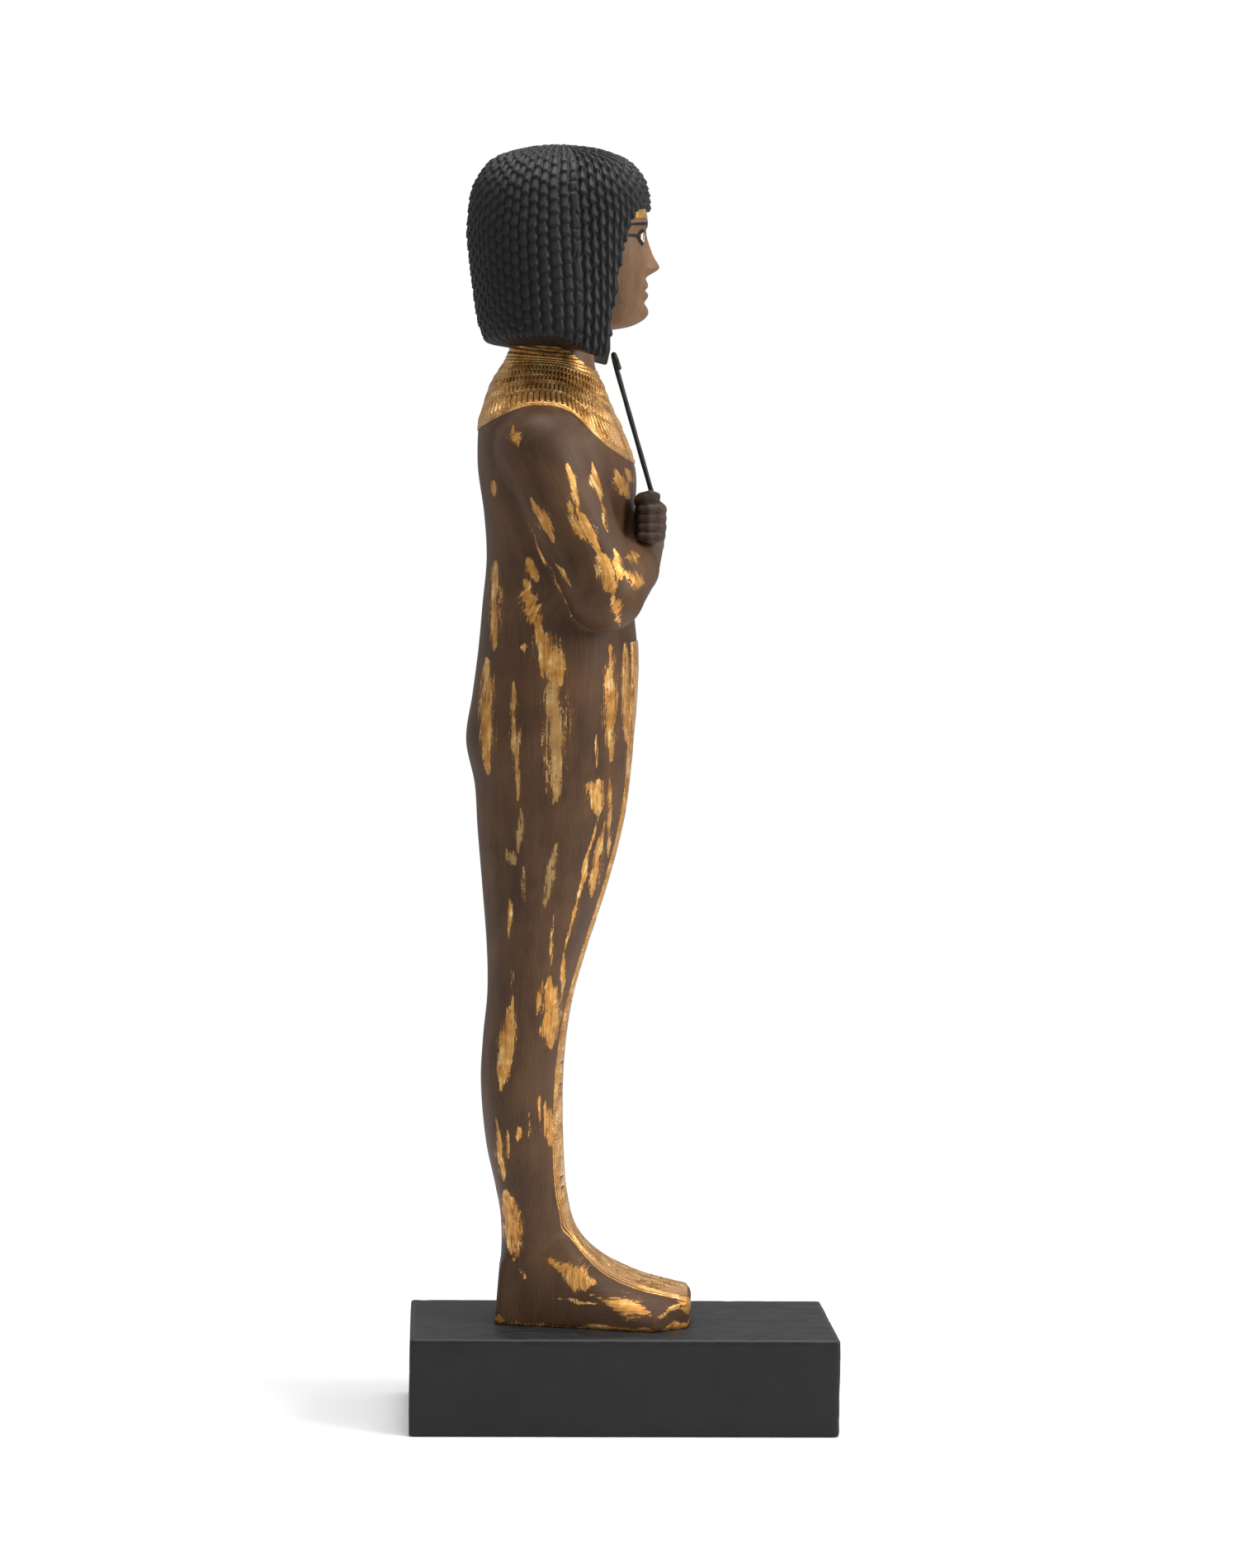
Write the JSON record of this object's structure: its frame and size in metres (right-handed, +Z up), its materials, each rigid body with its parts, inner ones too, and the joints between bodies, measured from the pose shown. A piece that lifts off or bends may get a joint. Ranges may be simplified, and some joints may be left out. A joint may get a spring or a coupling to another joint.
{
  "type": "ushabti figurine",
  "caption": "Carved wooden mummiform figurine with a bobbed lock wig, broad collar and crossed arms, one fist holding a thin crook, on a plain black block.",
  "frame": {"origin": "centre of the plinth's underside", "axes": "+Z up along the figure, -Y the way the figure faces along the plinth, +X to the figure's left"},
  "size_m": [0.1292, 0.193, 0.5789],
  "materials": {
    "carved_wood": "brown painted wood with worn gold leaf, satin",
    "gold_leaf": "burnished, worn",
    "wig_black": "matte black paint",
    "crook_bronze": "dark, dull",
    "plinth_black": "matte black paint"
  },
  "bodies": {
    "root": {"figure": "carved_wood", "crook": "crook_bronze", "plinth": "plinth_black"}
  },
  "joints": []
}
